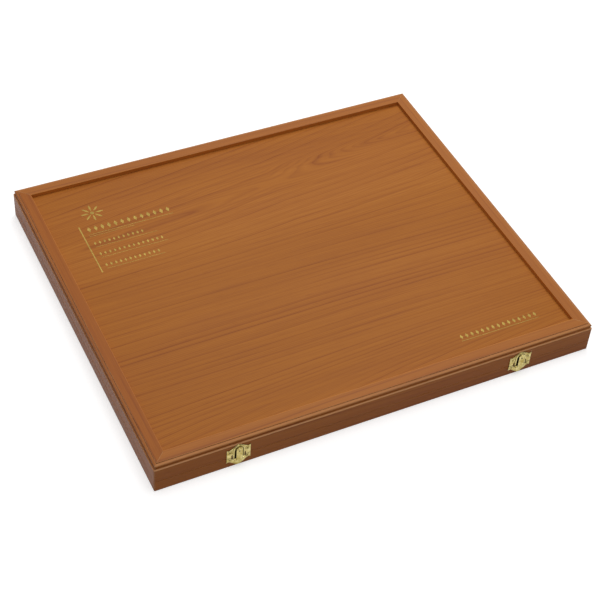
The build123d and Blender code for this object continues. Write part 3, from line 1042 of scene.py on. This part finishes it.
screwShape = screwMesh(hingeScrews)
nailShape = turnedMesh(catchNails["profile"], catchNails["segments"], "nail")
makeFasteners("hingeScrewsBelow", "hinge_base_screws", screwShape, hingeScrews, "up", "base", brass)
makeFasteners("hingeScrewsAbove", "hinge_lid_screws", screwShape, hingeScrews, "down", "lid", brass)
makeFasteners("catchNailsBelow", "catch_lower_nails", nailShape, catchNails, "front", "base", darkerNailBrass)
makeFasteners("catchNailsAbove", "catch_upper_nails", nailShape, catchNails, "front", "lid", darkerNailBrass)
print("screws and nails made")

# pressed scrolls on the catch plates, one curled round each nail

catchScrolls = {
    "start": 0.00180,             # radius at the outer end of a curl
    "end": 0.00125,
    "from": 40.0,                 # degrees, where 180 is the side towards the middle of the catch
    "to": 330.0,
    "steps": 26,
    "blunt": (0.35, 0.5),         # width of the ridge at its two ends, as a share
    "swell": 4,                   # how fast it widens from them
    "plate": 0.0006,              # thickness of the plate
    # a section of the ridge: aside from its middle, and up from the plate
    "ridge": [
        (-0.00030, -0.00005), (-0.00024, 0.00022), (0.0, 0.00036), (0.00024, 0.00022), (0.00030, -0.00005),
    ],
}


def scrollInto(builder, middle, wayX, wayZ, look):
    # a rounded ridge along a spiral, closed at both ends
    rings = []
    for step in range(look["steps"] + 1):
        share = step / look["steps"]
        angle = radians(look["from"] + (look["to"] - look["from"]) * share)
        radius = look["start"] + (look["end"] - look["start"]) * share
        outer = look["blunt"][0] + look["swell"] * share
        inner = look["blunt"][1] + look["swell"] * (1 - share)
        taper = min(1.0, outer, inner)
        ring = []
        for side, rise in look["ridge"]:
            reach = radius + side * taper
            x = middle.x + wayX * reach * cos(angle)
            z = middle.z + wayZ * reach * sin(angle)
            ring.append(builder.verts.new((x, middle.y - rise, z)))
        rings.append(ring)
    for ring, following in zip(rings, rings[1:]):
        closeRing(builder, ring, following)
    builder.faces.new(rings[0])
    builder.faces.new(rings[-1][::-1])


def makeScrolls(name, plates, nailNode, wayZ, look, body):
    builder = bmesh.new()
    low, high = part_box(nailNode)
    nailZ = (low.z + high.z) / 2
    for plate in plates:
        plateLow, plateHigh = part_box(plate)
        faceY = plateHigh.y - look["plate"]
        for wayX in (-1, 1):
            nailX = (plateLow.x + plateHigh.x) / 2 + wayX * catchNails["spacing"] / 2
            scrollInto(builder, Vector((nailX, faceY, nailZ)), wayX, wayZ, look)
    piece = newPiece(name, meshFrom(builder, name, smooth=True), brass)
    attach(piece, body)


lowerPlates = ("catch_left_lower_plate", "catch_right_lower_plate")
upperPlates = ("catch_left_upper_plate", "catch_right_upper_plate")
makeScrolls("catchScrollsBelow", lowerPlates, "catch_lower_nails", -1, catchScrolls, "base")
makeScrolls("catchScrollsAbove", upperPlates, "catch_upper_nails", 1, catchScrolls, "lid")
print("scrolls made")

# gold foil on the lid: a rosette, rules and rows of lozenges, in metres from the front left corner

foilWork = {
    "half": 0.00003,              # half its thickness
    "rosette": (0.0565, 0.2935),
    "petals": 8,
    "reach": 0.0105,              # from the rosette's middle to the tip of a petal
    "eye": 0.0019,                # radius of the disc in its middle
    "eyeSides": 20,
    "petalFrom": 1.35,            # where a petal starts, in radii of the eye
    "petalWidth": 0.30,           # as a share of its length
    "petalRound": 0.8,            # lower for blunter ends
    "petalLean": 0.45,            # how much wider it is towards its tip
    "petalPoints": (0.02, 0.12, 0.25, 0.4, 0.55, 0.7, 0.82, 0.92, 1.0),
    # left, bottom, right and top of each rule
    "rules": [
        (0.0385, 0.2185, 0.0396, 0.2798),
        (0.0440, 0.2668, 0.1240, 0.2673),
        (0.0440, 0.2645, 0.0860, 0.2649),
        (0.0440, 0.2502, 0.1020, 0.2506),
        (0.0440, 0.2362, 0.1070, 0.2366),
        (0.0440, 0.2215, 0.0980, 0.2219),
        (0.2880, 0.0286, 0.3640, 0.0291),
    ],
    # start x, middle y, count, pitch, half width and half height of each row of lozenges
    "rows": [
        (0.0465, 0.2735, 13, 0.00620, 0.0017, 0.0034),
        (0.0455, 0.2550, 11, 0.00440, 0.0011, 0.0022),
        (0.0455, 0.2410, 14, 0.00440, 0.0011, 0.0022),
        (0.0455, 0.2262, 12, 0.00440, 0.0011, 0.0022),
        (0.2900, 0.0333, 15, 0.00515, 0.0014, 0.0027),
    ],
}


def leafMesh(outline, half, name):
    # a thin closed plate from an outline, half of it in the board
    builder = bmesh.new()
    lower = [builder.verts.new((x, y, -half)) for x, y in outline]
    upper = [builder.verts.new((x, y, half)) for x, y in outline]
    builder.faces.new(lower[::-1])
    builder.faces.new(upper)
    closeRing(builder, lower, upper)
    return meshFrom(builder, name)


def petalOutline(work):
    start = work["eye"] * work["petalFrom"]
    span = work["reach"] - start
    side = []
    for share in work["petalPoints"]:
        lean = 1 - work["petalLean"] * (1 - share)
        swell = sin(pi * share) ** work["petalRound"] * lean
        side.append((start + span * share, work["petalWidth"] * span * swell / 2))
    return [(x, -y) for x, y in side] + side[-2::-1]


def makeFoil(work):
    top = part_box("lid_panel")[1].z
    corner = Vector((cadBox[0][0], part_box("lid_front_rail")[0].y, top))
    half = work["half"]
    parts = []
    for left, bottom, right, upper in work["rules"]:
        outline = [(left, bottom), (right, bottom), (right, upper), (left, upper)]
        parts.append((leafMesh(outline, half, "rule"), Matrix.Translation(corner)))
    for start, middle, count, pitch, halfWidth, halfHeight in work["rows"]:
        outline = [(halfWidth, 0), (0, halfHeight), (-halfWidth, 0), (0, -halfHeight)]
        lozenge = leafMesh(outline, half, "lozenge")
        centre = Vector((start + pitch * (count - 1) / 2, middle, 0))
        parts.append((copies(lozenge, foil, count, 1, pitch), Matrix.Translation(corner + centre)))
    rosette = Matrix.Translation(corner + Vector((*work["rosette"], 0)))
    for petal in range(work["petals"]):
        turn = Matrix.Rotation(2 * pi * petal / work["petals"], 4, "Z")
        parts.append((leafMesh(petalOutline(work), half, "petal"), rosette @ turn))
    angles = [2 * pi * i / work["eyeSides"] for i in range(work["eyeSides"])]
    disc = [(work["eye"] * cos(angle), work["eye"] * sin(angle)) for angle in angles]
    parts.append((leafMesh(disc, half, "eye"), rosette))
    return newPiece("foilOrnament", gathered("foilOrnament", parts), foil)


foilPiece = makeFoil(foilWork)
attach(foilPiece, "lid")
print("foil laid")

# light and stage

lightLook = {
    "sunStrength": 1.85,
    "sunSpread": 46.0,            # degrees
    "sunFrom": (0.04, -0.05, 1.0),
    "skyStrength": 0.21,
    "mirrored": 0.75,             # the backdrop as shiny pieces show it
    "softboxWatts": 2.4,
    "softboxPlace": (0.26, 0.45, 0.75),
    "softboxSize": 0.6,
}
floorLook = {"reach": 30.0, "below": 0.0002, "colour": 0.62, "lift": 0.54}


def addLamp(name, kind, place, **settings):
    lamp = bpy.data.lights.new(name, kind)
    for key, value in settings.items():
        setattr(lamp, key, value)
    holder = bpy.data.objects.new(name, lamp)
    holder.location = place
    holder.rotation_euler = (-Vector(place)).to_track_quat("-Z", "Y").to_euler()
    bpy.context.scene.collection.objects.link(holder)


def makeSky(look):
    world = bpy.data.worlds.new("studio")
    bpy.context.scene.world = world
    world.use_nodes = True
    desk = NodeDesk(world.node_tree)
    rays = desk.add("ShaderNodeLightPath").outputs
    plain = desk.math("MAXIMUM", rays["Is Camera Ray"], rays["Is Transmission Ray"])
    mirrored = desk.math("MULTIPLY", rays["Is Glossy Ray"], look["mirrored"])
    strength = desk.math("MAXIMUM", desk.math("MAXIMUM", plain, mirrored), look["skyStrength"])
    backdrop = desk.add("ShaderNodeBackground", {"Color": (1, 1, 1, 1), "Strength": strength}).outputs[0]
    desk.add("ShaderNodeOutputWorld", {"Surface": backdrop})


def makeFloor(look):
    material, desk = newMaterial("paleFloor")
    rays = desk.add("ShaderNodeLightPath").outputs
    seen = desk.math("MAXIMUM", rays["Is Camera Ray"], rays["Is Glossy Ray"])
    seen = desk.math("MAXIMUM", seen, rays["Is Transmission Ray"])
    grey = (*(look["colour"],) * 3, 1)
    matt = desk.add("ShaderNodeBsdfDiffuse", {"Color": grey}).outputs[0]
    lift = desk.math("MULTIPLY", seen, look["lift"])
    glow = desk.add("ShaderNodeEmission", {"Strength": lift}).outputs[0]
    both = desk.add("ShaderNodeAddShader", {0: matt, 1: glow}).outputs[0]
    desk.add("ShaderNodeOutputMaterial", {"Surface": both})
    reach = look["reach"]
    corners = [(-reach, -reach, 0), (reach, -reach, 0), (reach, reach, 0), (-reach, reach, 0)]
    mesh = bpy.data.meshes.new("floor")
    mesh.from_pydata(corners, [], [(0, 1, 2, 3)])
    floor = newPiece("floor", mesh, material)
    floor.location.z = -look["below"]


addLamp("sunLamp", "SUN", lightLook["sunFrom"], energy=lightLook["sunStrength"],
        angle=radians(lightLook["sunSpread"]))
addLamp("softbox", "AREA", lightLook["softboxPlace"], energy=lightLook["softboxWatts"],
        size=lightLook["softboxSize"])
makeSky(lightLook)
makeFloor(floorLook)
print("stage set")
